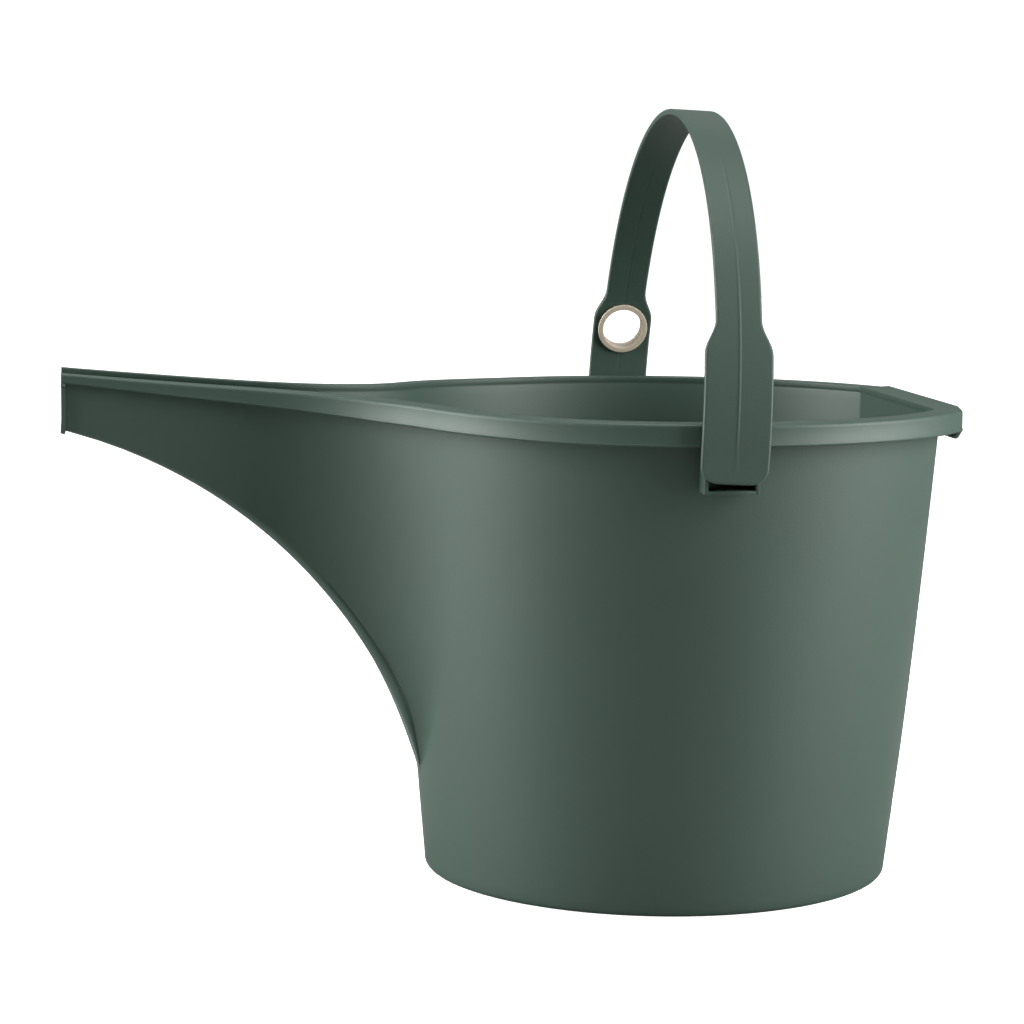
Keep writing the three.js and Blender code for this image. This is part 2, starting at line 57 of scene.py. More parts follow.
# ---- Floor, light and camera ----------------------------------------------------------------
# The pail stands on a pale floor under soft light from above, with a tall soft panel on each side.
# Floor and surround are made brighter for the camera than for the pail, so the background is
# white while the middle of the round wall stays dark.
FLOOR_HALF = 6.0
FLOOR_GLOW = 0.75
SIDE_PANEL_SIZE = (1.2, 1.4)
SIDE_PANEL_AIM = (0, 0, 0.13)
SURROUND_FILL = 0.10  # what the white surround gives the pail, against 1.1 as it's seen

floor_shape = bmesh.new()
bmesh.ops.create_grid(floor_shape, x_segments=2, y_segments=2, size=FLOOR_HALF)
floor_mesh = bpy.data.meshes.new("floor")
floor_shape.to_mesh(floor_mesh)
floor_shape.free()
floor = bpy.data.objects.new("floor", floor_mesh)
bpy.context.scene.collection.objects.link(floor)
floor_finish = bpy.data.materials.new("white_floor")
floor_finish.use_nodes = True
floor_nodes, floor_links = floor_finish.node_tree.nodes, floor_finish.node_tree.links
plain = floor_nodes["Principled BSDF"]
plain.inputs["Roughness"].default_value = 0.9
plain.inputs["Specular IOR Level"].default_value = 0.0
plain.inputs["Emission Color"].default_value = (1, 1, 1, 1)
floor_seen = floor_nodes.new("ShaderNodeLightPath")
paleness = floor_nodes.new("ShaderNodeMix")
paleness.data_type = "RGBA"
paleness.inputs[6].default_value = (0.34, 0.34, 0.34, 1)
paleness.inputs[7].default_value = (0.9, 0.9, 0.9, 1)
glow = floor_nodes.new("ShaderNodeMath")
glow.operation = "MULTIPLY"
glow.inputs[1].default_value = FLOOR_GLOW
floor_links.new(floor_seen.outputs["Is Camera Ray"], paleness.inputs[0])
floor_links.new(floor_seen.outputs["Is Camera Ray"], glow.inputs[0])
floor_links.new(paleness.outputs[2], plain.inputs["Base Color"])
floor_links.new(glow.outputs[0], plain.inputs["Emission Strength"])
floor_mesh.materials.append(floor_finish)

world = bpy.data.worlds.new("white_surround")
world.use_nodes = True
bpy.context.scene.world = world
surround = world.node_tree.nodes["Background"]
surround.inputs["Color"].default_value = (1, 1, 1, 1)
seen = world.node_tree.nodes.new("ShaderNodeLightPath")
strength = world.node_tree.nodes.new("ShaderNodeMapRange")
strength.inputs["To Min"].default_value = SURROUND_FILL
strength.inputs["To Max"].default_value = 1.1
world.node_tree.links.new(seen.outputs["Is Camera Ray"], strength.inputs["Value"])
world.node_tree.links.new(strength.outputs["Result"], surround.inputs["Strength"])
bpy.context.scene.view_settings.view_transform = "Standard"


def soft_panel(name, place, aim, size, power):
    lamp = bpy.data.lights.new(name, "AREA")
    lamp.shape = "RECTANGLE"
    lamp.size, lamp.size_y = size
    lamp.energy = power
    panel = bpy.data.objects.new(name, lamp)
    panel.location = place
    panel.rotation_euler = (Vector(aim) - Vector(place)).to_track_quat("-Z", "Y").to_euler()
    bpy.context.scene.collection.objects.link(panel)
    return panel


above = bpy.data.lights.new("light_above", "SUN")
above.energy = 2.3
above.angle = math.radians(30)
above_place = bpy.data.objects.new("light_above", above)
bpy.context.scene.collection.objects.link(above_place)
soft_panel("left_panel", (-1.7, 0.05, 0.72), SIDE_PANEL_AIM, SIDE_PANEL_SIZE, 84)
soft_panel("right_panel", (1.6, -0.68, 0.72), SIDE_PANEL_AIM, SIDE_PANEL_SIZE, 74)
soft_panel("back_panel", (0.3, 2.2, 1.9), (0, 0, 0.25), (2.6, 1.0), 8)

camera_lens = bpy.data.cameras.new("camera")
camera_lens.lens = 106.6
camera_lens.sensor_width = 36
camera = bpy.data.objects.new("camera", camera_lens)
heading, tilt, roll = math.radians(8.24), math.radians(6.78), math.radians(0.63)
looking = Vector((math.sin(heading) * math.cos(tilt), math.cos(heading) * math.cos(tilt), -math.sin(tilt)))
camera.rotation_mode = "QUATERNION"
level = looking.to_track_quat("-Z", "Y")
camera.rotation_quaternion = level @ Matrix.Rotation(roll, 3, "Z").to_quaternion()
CAMERA_FROM_AXIS = (-294.1, -1508.4, 363.1)
SPOUT_REACH = 301.0
axis_x = cad_low.x * 1000 + SPOUT_REACH
camera.location = (Vector(CAMERA_FROM_AXIS) + Vector((axis_x, 0, 0))) / 1000
bpy.context.scene.collection.objects.link(camera)
bpy.context.scene.camera = camera


# ---- Pail body --------------------------------------------------------------------------------
# One injection moulding in dark green polypropylene. Round wall with a flat back, an open trough
# spout drawn out of its front, a rim that turns out and down into a skirt, a foot ring, and an
# open box of ribs under the rim on each side that takes the handle's studs.
RIM_HEIGHT = 240.0
BASE_RADIUS, TOP_RADIUS = 117.7, 143.0
TOP_CENTRE_X = 2.8
BASE_FLAT_INSET, BACK_FLAT_INSET = 1.0, 20.0
BASE_CORNER_RADIUS, BACK_CORNER_RADIUS = 7.0, 7.0
WALL, FLOOR, FLOOR_FILLET, FOOT_RECESS, FOOT_RING_WIDTH, BASE_EDGE_RADIUS = 2.4, 3.0, 4.4, 3.0, 7.0, 2.5

SPOUT_HALF_WIDTH, SPOUT_MOUTH_DEPTH = 21.0, 28.1
SPOUT_RISE, SPOUT_RISE_START, SPOUT_RISE_POWER = 13.7, 60.0, 1.45
SPOUT_ROOT_HEIGHT, SPOUT_UNDERSIDE_RADIUS = 53.0, 251.0
SPOUT_SHOULDER_HALF, SPOUT_EDGE_RADIUS = 74.0, 6.0
TIP_LIP_THICKNESS, TIP_LIP_HEIGHT = 2.2, 1.8

RIM_OVERHANG, TIP_OVERHANG, BACK_OVERHANG, BACK_RAISE = 9.4, 3.0, 12.2, 1.0
RIM_PLATE, SKIRT_THICKNESS, BACK_BEAD_RADIUS = 2.4, 1.8, 1.9
SKIRT_DROP, TIP_SKIRT_DROP, BACK_SKIRT_DROP = 10.8, 4.6, 15.5
RIM_INNER_LIP, RIM_EDGE_RADIUS, RIM_INNER_RADIUS, SKIRT_FLARE = 0.4, 2.0, 0.4, 0.4
UNDER_RIM_FILLET, WALL_STEPS = 1.2, 60


def section(z):
    share = z / RIM_HEIGHT
    radius = BASE_RADIUS + (TOP_RADIUS - BASE_RADIUS) * share
    centre = TOP_CENTRE_X * share
    flat = centre + radius - BASE_FLAT_INSET - (BACK_FLAT_INSET - BASE_FLAT_INSET) * share
    corner = BASE_CORNER_RADIUS + (BACK_CORNER_RADIUS - BASE_CORNER_RADIUS) * share
    return radius, centre, flat, corner


def quarter_ellipse(share):
    return math.sqrt(1 - (1 - min(max(share, 0), 1)) ** 2)


def smoothstep(value, low, high):
    share = min(max((value - low) / (high - low), 0), 1)
    return share * share * (3 - 2 * share)


root_radius, root_centre = section(SPOUT_ROOT_HEIGHT)[:2]
underside_root = Vector((root_centre - root_radius, SPOUT_ROOT_HEIGHT))
underside_foot = Vector((-SPOUT_REACH, RIM_HEIGHT + SPOUT_RISE - SPOUT_MOUTH_DEPTH))
chord = underside_foot - underside_root
arc_height = math.sqrt(SPOUT_UNDERSIDE_RADIUS ** 2 - (chord.length / 2) ** 2)
chord_normal = Vector((-chord.y, chord.x)).normalized()
underside_centre = (underside_root + underside_foot) / 2 + chord_normal * arc_height


def underside_x(z, inset):
    """Front of the spout at height z: its arc, and past the open end the arc's own tangent."""
    reach = SPOUT_UNDERSIDE_RADIUS + inset
    last = underside_foot.y - underside_centre.y
    up = min(z - underside_centre.y, last)
    along = math.sqrt(reach * reach - up * up)
    past = max(z - underside_centre.y - last, 0)
    return underside_centre.x + along - past * last / along


# The half outline runs from the middle of the front round the +y side to the middle of the back.
STRETCHES = (
    ("nose", 3), ("edge", 6), ("flank", 16), ("fillet", 16), ("round", 56), ("corner", 14), ("flat", 9))
places = [(name, step / count) for name, count in STRETCHES for step in range(count)] + [("flat", 1.0)]


def wall_point(place, z, inset):
    """Where the wall's outline passes one of the places at height z, moved inwards by inset."""
    stretch, share = place
    radius, centre, flat, corner = section(z)
    r = radius - inset
    height = max(z - SPOUT_ROOT_HEIGHT, 0) + 1
    shoulder = SPOUT_SHOULDER_HALF * quarter_ellipse(height / (RIM_HEIGHT - SPOUT_ROOT_HEIGHT))
    half = SPOUT_HALF_WIDTH * quarter_ellipse(height / (RIM_HEIGHT / 5))
    start = math.asin(shoulder / radius)
    fillet = (shoulder - half) / (1 - shoulder / radius)
    fillet_x = centre - (radius + fillet) * math.cos(start)
    nose_x = underside_x(z, inset) if z > SPOUT_ROOT_HEIGHT else centre - r
    tangent_x = centre - r * math.cos(start)
    corner_r = corner - inset
    corner_x = flat - inset - corner_r
    corner_y = math.sqrt((r - corner_r) ** 2 - (corner_x - centre) ** 2)
    end = math.pi - math.atan2(corner_y, corner_x - centre)
    arc = fillet + inset

    def flank_y(x):
        if x < fillet_x:
            return half - inset
        return half + fillet - math.sqrt(max(arc * arc - (x - fillet_x) ** 2, 0))

    if stretch == "round":
        a = start + (end - start) * share
        return Vector((centre - r * math.cos(a), r * math.sin(a)))
    if stretch == "corner":
        a = (math.pi - end) * (1 - share)
        return Vector((corner_x + corner_r * math.cos(a), corner_y + corner_r * math.sin(a)))
    if stretch == "flat":
        return Vector((corner_x + corner_r, corner_y * (1 - share)))
    if z <= SPOUT_ROOT_HEIGHT or nose_x > centre - r - 0.02:
        before = sum(count for name, count in STRETCHES[:4])
        order = [name for name, count in STRETCHES].index(stretch)
        passed = sum(count for name, count in STRETCHES[:order]) + share * STRETCHES[order][1]
        a = start * passed / before
        return Vector((centre - r * math.cos(a), r * math.sin(a)))
    edge = min(SPOUT_EDGE_RADIUS, 0.3 * (tangent_x - nose_x), 0.7 * flank_y(nose_x))
    edge_x, edge_y = nose_x + edge, flank_y(nose_x + edge)
    if stretch == "nose":
        return Vector((nose_x, (edge_y - edge) * share))
    if stretch == "edge":
        a = share * math.pi / 2
        return Vector((edge_x - edge * math.cos(a), edge_y - edge + edge * math.sin(a)))
    arc_start = max(edge_x, fillet_x)
    if stretch == "flank":
        x = edge_x + (arc_start - edge_x) * share
        return Vector((x, flank_y(x)))
    a = math.asin((arc_start - fillet_x) / arc)
    a += (math.pi / 2 - start - a) * share
    return Vector((fillet_x + arc * math.sin(a), half + fillet - arc * math.cos(a)))


def rim_top(x):
    share = max(0, (-x - SPOUT_RISE_START) / (SPOUT_REACH - SPOUT_RISE_START))
    return RIM_HEIGHT + SPOUT_RISE * share ** SPOUT_RISE_POWER


def top_of_wall(place, inset, below):
    """Height at which the wall at that place comes up under the rim's top face."""
    z = RIM_HEIGHT - below
    for _ in range(14):
        z = rim_top(wall_point(place, z, inset).x) - below
    return z


def wall_rings(inset, foot, below, steps):
    """Rings up the wall from height foot to just under the rim, evenly spaced."""
    tops = [top_of_wall(place, inset, below) for place in places]
    rings = []
    for step in range(steps + 1):
        share = step / steps
        rings.append([
            (*wall_point(place, foot + (top - foot) * share, inset), foot + (top - foot) * share)
            for place, top in zip(places, tops)
        ])
    return rings


def flat_ring(inset, z):
    return [(*wall_point(place, z, inset), z) for place in places]


def round_ring(radius, z):
    """A plain circle about the axis with the same places round it."""
    return [(*(wall_point(place, z, 0).normalized() * radius), z) for place in places]


def rim_rings():
    """Rings round the rim's own section, from the outside of the wall over the skirt to the inside."""
    path = [wall_point(place, top_of_wall(place, 0, RIM_PLATE), 0) for place in places]
    normals = []
    for i, point in enumerate(path):
        before = path[i - 1] if i else Vector((path[1].x, -path[1].y))
        after = path[i + 1] if i + 1 < len(path) else Vector((path[-2].x, -path[-2].y))
        way = after - before
        normals.append(Vector((-way.y, way.x)).normalized())
    back_x = section(RIM_HEIGHT)[2] + BACK_OVERHANG

    def sizes(point, normal):
        """Overhang, depth and raise of the rim. Its outer edge is a circle, cut off straight behind."""
        if point.x < TOP_CENTRE_X:
            to_tip = min(max((-point.x - TOP_RADIUS) / (SPOUT_REACH - TOP_RADIUS), 0), 1)
            over = RIM_OVERHANG + (TIP_OVERHANG - RIM_OVERHANG) * to_tip
            return over, SKIRT_DROP + (TIP_SKIRT_DROP - SKIRT_DROP) * to_tip, 0.0
        spoke = point - Vector((TOP_CENTRE_X, 0))
        across = spoke.x * normal.y - spoke.y * normal.x
        to_circle = math.sqrt((TOP_RADIUS + RIM_OVERHANG) ** 2 - across ** 2) - spoke.dot(normal)
        if normal.x < 0.2:
            return to_circle, SKIRT_DROP, 0.0
        to_back = (back_x - point.x) / normal.x
        over = (to_circle + to_back - math.sqrt((to_circle - to_back) ** 2 + 1.5)) / 2
        behind = smoothstep(to_circle - to_back, -0.4, 1.6)
        return over, SKIRT_DROP + (BACK_SKIRT_DROP - SKIRT_DROP) * behind, behind

    inside = -(WALL + RIM_INNER_LIP)

    def profile(over, drop, behind):
        """(distance out from the wall's outside, depth below the rim's top)"""
        plate = min(RIM_PLATE, 0.45 * drop)
        edge = min(RIM_EDGE_RADIUS, 0.3 * drop)
        bead = SKIRT_THICKNESS / 2 + (BACK_BEAD_RADIUS - SKIRT_THICKNESS / 2) * behind
        lift = BACK_RAISE * behind
        flare = SKIRT_FLARE * min(1, drop / SKIRT_DROP)
        fillet = UNDER_RIM_FILLET
        turns = [
            (fillet - fillet * math.cos(a), plate + fillet - fillet * math.sin(a))
            for a in (0, 0.5, 1.1)
        ]
        inner_x = over - SKIRT_THICKNESS
        turns += [(min(fillet, inner_x - 0.4), plate), (inner_x - 0.3, plate), (inner_x - 0.1, plate + 0.15)]
        turns += [(inner_x, plate + 0.5), (inner_x, max(plate + 0.6, drop - 2.4 * bead))]
        for step in range(9):
            a = math.pi * step / 8
            out = over - bead - bead * math.cos(a) + flare * (1 - math.cos(a)) / 2
            turns.append((out, drop - bead + bead * math.sin(a)))
        turns += [(over, max(edge + 0.3, drop - bead - 0.5) - 0.1), (over, edge + 0.2 - lift)]
        for step in range(7):
            a = math.pi / 2 * step / 6
            turns.append((over - edge * (1 - math.cos(a)), edge * (1 - math.sin(a)) - lift))
        turns += [(over - edge - 0.4, -lift), (over - max(edge, 0.45 * over) - 0.5, -0.5 * lift)]
        turns += [(inside + RIM_INNER_RADIUS + 0.3, 0)]
        for step in range(4):
            a = math.pi / 2 * step / 3
            out = inside + RIM_INNER_RADIUS * (1 - math.sin(a))
            turns.append((out, RIM_INNER_RADIUS * (1 - math.cos(a))))
        turns += [(inside, 0.8), (inside, 1.6), (inside + 0.1, RIM_PLATE), (-WALL, RIM_PLATE + 0.8)]
        return turns

    columns = []
    for point, normal in zip(path, normals):
        top = rim_top(point.x)
        columns.append([
            (point.x + normal.x * out, point.y + normal.y * out, top - down)
            for out, down in profile(*sizes(point, normal))
        ])
    return [list(ring) for ring in zip(*columns)]


def extrude_through(shape, rings, closed=False):
    """A skin through rings of points: the first ring's edges are extruded to each next one."""
    verts = [shape.verts.new(point) for point in rings[0]]
    pairs = list(zip(verts, verts[1:])) + ([(verts[-1], verts[0])] if closed else [])
    edges = [shape.edges.new(pair) for pair in pairs]
    first = verts
    for ring in rings[1:]:
        made = bmesh.ops.extrude_edge_only(shape, edges=edges)["geom"]
        shape.verts.ensure_lookup_table()
        fresh = [v for v in made if isinstance(v, bmesh.types.BMVert)]
        fresh_edges = [e for e in made if isinstance(e, bmesh.types.BMEdge)]
        follow = {}
        for v in fresh:
            for e in v.link_edges:
                other = e.other_vert(v)
                if other not in fresh:
                    follow[other] = v
        verts = [follow[v] for v in verts]
        for v, point in zip(verts, ring):
            v.co = point
        edges = [e for e in fresh_edges if e.verts[0] in fresh and e.verts[1] in fresh]
    return first, verts


def finish_shape(shape, name, material, place, sharp_angle=35):
    """Sets a millimetre shape in metres at its place and makes it an object with smooth faces."""
    bmesh.ops.transform(shape, matrix=Matrix.Scale(0.001, 4) @ place, verts=shape.verts)
    for face in shape.faces:
        face.smooth = True
    for edge in shape.edges:
        if edge.is_manifold and edge.calc_face_angle() > math.radians(sharp_angle):
            edge.smooth = False
    mesh = bpy.data.meshes.new(name)
    shape.to_mesh(mesh)
    shape.free()
    mesh.materials.append(material)
    piece = bpy.data.objects.new(name, mesh)
    bpy.context.scene.collection.objects.link(piece)
    return piece


def satin_plastic(name, colour, roughness, grain_depth, grain_size):
    """Moulded plastic: fine spark-eroded grain, and slow drifts of tone and gloss from the flow."""
    material = bpy.data.materials.new(name)
    material.use_nodes = True
    nodes, links = material.node_tree.nodes, material.node_tree.links
    shader = nodes["Principled BSDF"]
    where = nodes.new("ShaderNodeTexCoord")
    drift = nodes.new("ShaderNodeTexNoise")
    drift.inputs["Scale"].default_value = 14
    drift.inputs["Detail"].default_value = 3
    links.new(where.outputs["Object"], drift.inputs["Vector"])
    tone = nodes.new("ShaderNodeMix")
    tone.data_type = "RGBA"
    links.new(drift.outputs["Fac"], tone.inputs[0])
    tone.inputs[6].default_value = (*[c * 0.94 for c in colour], 1)
    tone.inputs[7].default_value = (*[c * 1.06 for c in colour], 1)
    links.new(tone.outputs[2], shader.inputs["Base Color"])
    gloss = nodes.new("ShaderNodeMapRange")
    gloss.inputs["To Min"].default_value = roughness - 0.03
    gloss.inputs["To Max"].default_value = roughness + 0.03
    links.new(drift.outputs["Fac"], gloss.inputs["Value"])
    links.new(gloss.outputs["Result"], shader.inputs["Roughness"])
    grain = nodes.new("ShaderNodeTexNoise")
    grain.inputs["Scale"].default_value = grain_size
    grain.inputs["Detail"].default_value = 4
    links.new(where.outputs["Object"], grain.inputs["Vector"])
    bump = nodes.new("ShaderNodeBump")
    bump.inputs["Strength"].default_value = 0.35
    bump.inputs["Distance"].default_value = grain_depth
    links.new(grain.outputs["Fac"], bump.inputs["Height"])
    links.new(bump.outputs["Normal"], shader.inputs["Normal"])
    shader.inputs["IOR"].default_value = 1.49
    shader.inputs["Specular IOR Level"].default_value = 0.4
    return material


green = (0.024, 0.047, 0.035)
pail_plastic = satin_plastic("pail_green", green, 0.54, 0.00012, 900)

pail_shape = bmesh.new()
edge_turns = [math.pi / 2 * step / 6 for step in range(7)]
hollow_radius = BASE_RADIUS - FOOT_RING_WIDTH
middle_radius = hollow_radius - 24
rings = [round_ring(middle_radius, FOOT_RECESS), round_ring(hollow_radius - 1, FOOT_RECESS)]
rings += [round_ring(hollow_radius, FOOT_RECESS - 1), round_ring(hollow_radius, 0.5)]
rings += [round_ring(hollow_radius + 0.5, 0)]
rings += [
    flat_ring(BASE_EDGE_RADIUS * (1 - math.sin(a)), BASE_EDGE_RADIUS * (1 - math.cos(a)))
    for a in edge_turns
]
rings += wall_rings(0, BASE_EDGE_RADIUS, RIM_PLATE + UNDER_RIM_FILLET, WALL_STEPS)[1:]
rings += rim_rings()[1:]
floor_top = FOOT_RECESS + FLOOR
rings += list(reversed(wall_rings(WALL, floor_top + FLOOR_FILLET, RIM_PLATE + 1.4, WALL_STEPS)))
rings += [
    flat_ring(WALL + FLOOR_FILLET * (1 - math.cos(a)), floor_top + FLOOR_FILLET * (1 - math.sin(a)))
    for a in edge_turns[1:]
]
rings += [round_ring(hollow_radius - 3, floor_top), round_ring(middle_radius, floor_top)]
under_centre, floor_centre = extrude_through(pail_shape, rings)
for chain in (under_centre, floor_centre):
    ends = pail_shape.verts.new((0, 0, chain[0].co.z))
    for a, b in zip(chain, chain[1:]):
        pail_shape.faces.new((a, b, ends))

tip_out = Vector((-1, 0, 0))
tip_top = Vector((-SPOUT_REACH, 0, RIM_HEIGHT + SPOUT_RISE))
for back_from_tip, cut_off in ((0, True), (TIP_LIP_THICKNESS, False)):
    bmesh.ops.bisect_plane(
        pail_shape, geom=pail_shape.verts[:] + pail_shape.edges[:] + pail_shape.faces[:], dist=0.001,
        plane_co=tip_top - tip_out * back_from_tip, plane_no=tip_out, clear_outer=cut_off)
bmesh.ops.mirror(
    pail_shape, geom=pail_shape.verts[:] + pail_shape.edges[:] + pail_shape.faces[:],
    axis="Y", merge_dist=0.01)
bmesh.ops.remove_doubles(pail_shape, verts=pail_shape.verts, dist=0.005)
bmesh.ops.dissolve_degenerate(pail_shape, edges=pail_shape.edges, dist=0.002)
open_edges = [e for e in pail_shape.edges if e.is_boundary]
bmesh.ops.holes_fill(pail_shape, edges=open_edges, sides=0)
bmesh.ops.recalc_face_normals(pail_shape, faces=pail_shape.faces)

lip_faces = [
    f for f in pail_shape.faces
    if (f.calc_center_median() - tip_top).dot(tip_out) > -TIP_LIP_THICKNESS
    and abs(f.normal.x) < 0.9
    and f.calc_center_median().z < rim_top(-SPOUT_REACH) - TIP_SKIRT_DROP
    and (abs(f.calc_center_median().y) > SPOUT_HALF_WIDTH - WALL / 2 or f.normal.z < -0.3)
]
bmesh.ops.inset_region(
    pail_shape, faces=lip_faces, thickness=0.0, depth=TIP_LIP_HEIGHT,
    use_even_offset=True, use_boundary=True)


def rounded(corners, radius, steps=4):
    """A closed outline with each of its corners rounded off."""
    points = []
    for before, corner, after in zip(corners[-1:] + corners[:-1], corners, corners[1:] + corners[:1]):
        corner = Vector(corner)
        back, on = (Vector(before) - corner).normalized(), (Vector(after) - corner).normalized()
        for step in range(steps + 1):
            share = step / steps
            points.append(corner + back * radius * (1 - share) ** 2 + on * radius * share ** 2)
    return points


def turned(shape, outline, at, steps=72):
    """Turns an outline of (radius, y) once round the y axis and sets it at a place."""
    piece = bmesh.new()
    verts = [piece.verts.new((r, y, 0)) for r, y in outline]
    edges = [piece.edges.new(pair) for pair in zip(verts, verts[1:] + verts[:1])]
    bmesh.ops.spin(
        piece, geom=verts + edges, cent=(0, 0, 0), axis=(0, 1, 0), angle=math.tau,
        steps=steps, use_merge=True)
    bmesh.ops.remove_doubles(piece, verts=piece.verts, dist=0.001)
    bmesh.ops.dissolve_degenerate(piece, edges=piece.edges, dist=0.001)
    bmesh.ops.recalc_face_normals(piece, faces=piece.faces)
    bmesh.ops.transform(piece, matrix=at, verts=piece.verts)
    joined = bpy.data.meshes.new("joined")
    piece.to_mesh(joined)
    piece.free()
    shape.from_mesh(joined)
    bpy.data.meshes.remove(joined)


def slab(shape, x0, x1, low, high, near_low, near_high, far, side):
    """A small rib with softened edges; its near face follows the sloping wall it grows out of."""
    made = bmesh.ops.create_cube(shape, size=1)["verts"]
    for vert in made:
        up, out = vert.co.z > 0, vert.co.y > 0
        near = near_high if up else near_low
        vert.co = (x1 if vert.co.x > 0 else x0, far if out else near, high if up else low)
    edges = list({e for v in made for e in v.link_edges})
    rounds = bmesh.ops.bevel(
        shape, geom=edges, offset=0.35, segments=2, profile=0.5, affect="EDGES", material=-1)["verts"]
    whole = list({v for v in rounds if v.is_valid})
    if side < 0:
        bmesh.ops.transform(shape, matrix=Matrix.Scale(-1, 4, (0, 1, 0)), verts=whole)
        bmesh.ops.reverse_faces(shape, faces=list({f for v in whole for f in v.link_faces}))


PIVOT_BEHIND_CENTRE, PIVOT_BELOW_RIM = 1.8, 20.0
PIVOT_X, PIVOT_HEIGHT = TOP_CENTRE_X + PIVOT_BEHIND_CENTRE, RIM_HEIGHT - PIVOT_BELOW_RIM
BRACKET_WIDTH, BRACKET_RIB, BRACKET_DEPTH_BELOW_PIVOT, BRACKET_INSET = 26.0, 1.8, 12.6, 0.4
BRACKET_FLOOR_INSET = 0.1  # keeps the floor rib's faces out of the side ribs' planes
BRACKET_LOW = PIVOT_HEIGHT - BRACKET_DEPTH_BELOW_PIVOT
STUD_RADIUS, STUD_CLEARANCE, STUD_END_GAP = 4.0, 0.4, 1.5
SOCKET_BORE, SOCKET_WALL, SOCKET_FLOOR, SOCKET_INSET = STUD_RADIUS + STUD_CLEARANCE, 2.4, 0.4, 1.0
skirt_y = TOP_RADIUS + RIM_OVERHANG
for side in (-1, 1):
    wall_low, wall_high = section(BRACKET_LOW)[0] - 2.0, section(RIM_HEIGHT - 2)[0] - 2.0
    left, right = PIVOT_X - BRACKET_WIDTH / 2, PIVOT_X + BRACKET_WIDTH / 2
    front = skirt_y - BRACKET_INSET
    for x0, x1 in ((left, left + BRACKET_RIB), (right - BRACKET_RIB, right)):
        slab(pail_shape, x0, x1, BRACKET_LOW, RIM_HEIGHT - 1.5, wall_low, wall_high, front, side)
    wall_up = wall_low + (wall_high - wall_low) * 0.06
    inset = BRACKET_FLOOR_INSET
    slab(pail_shape, left + inset, right - inset, BRACKET_LOW + inset / 2, BRACKET_LOW + BRACKET_RIB,
         wall_low, wall_up, front - inset, side)
    blind = section(PIVOT_HEIGHT)[0] + SOCKET_FLOOR
    outer, end = SOCKET_BORE + SOCKET_WALL, front - SOCKET_INSET
    cup = [
        (0, blind - 1.6), (outer, blind - 1.6), (outer, end),
        (SOCKET_BORE, end), (SOCKET_BORE, blind), (0, blind)]
    facing = Matrix.Rotation(0 if side > 0 else math.pi, 4, "Z")
    turned(pail_shape, cup, Matrix.Translation((PIVOT_X, 0, PIVOT_HEIGHT)) @ facing)

bmesh.ops.recalc_face_normals(pail_shape, faces=pail_shape.faces)
pail = finish_shape(pail_shape, "pouring_pail", pail_plastic, Matrix.Translation((axis_x, 0, 0)))
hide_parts("pail_body")
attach(pail, "pail")


# ---- Handle -----------------------------------------------------------------------------------
# One moulded strap in the same plastic, bent to an arch. It widens to a paddle over each pivot,
# carries a stud inside each paddle and a fine raised line along the middle of its outer face, and
# the far paddle has a hole for the eyelet.
HANDLE_LEAN = math.radians(2.65)
STRAP_WIDTH, STRAP_THICKNESS, STRAP_EDGE, PADDLE_WIDTH, PADDLE_GAP = 21.8, 3.0, 1.1, 32.3, 2.2
PADDLE_TAIL, PADDLE_CORNER_RADIUS, SHOULDER_LOW, SHOULDER_HIGH = 7.5, 8.5, 52.0, 67.0
ARCH_SPRING, ARCH_RISE = 9.0, 156.0
RIDGE_HALF, RIDGE_HEIGHT = 0.7, 0.2
STUD_EDGE, STUD_END = 0.4, section(PIVOT_HEIGHT)[0] + SOCKET_FLOOR + STUD_END_GAP
EYELET_BORE_RADIUS, EYELET_WALL, EYELET_ABOVE_PIVOT, FIT_GAP = 10.9, 1.5, 47.0, 0.3
EYELET_BARREL_RADIUS = EYELET_BORE_RADIUS + EYELET_WALL
EYELET_HOLE_RADIUS = EYELET_BARREL_RADIUS + FIT_GAP

arch_half = skirt_y + PADDLE_GAP + STRAP_THICKNESS / 2
arch_rise = ARCH_RISE - STRAP_THICKNESS / 2
bail_place = Matrix.Translation((axis_x + PIVOT_X, 0, PIVOT_HEIGHT)) @ Matrix.Rotation(HANDLE_LEAN, 4, "Y")


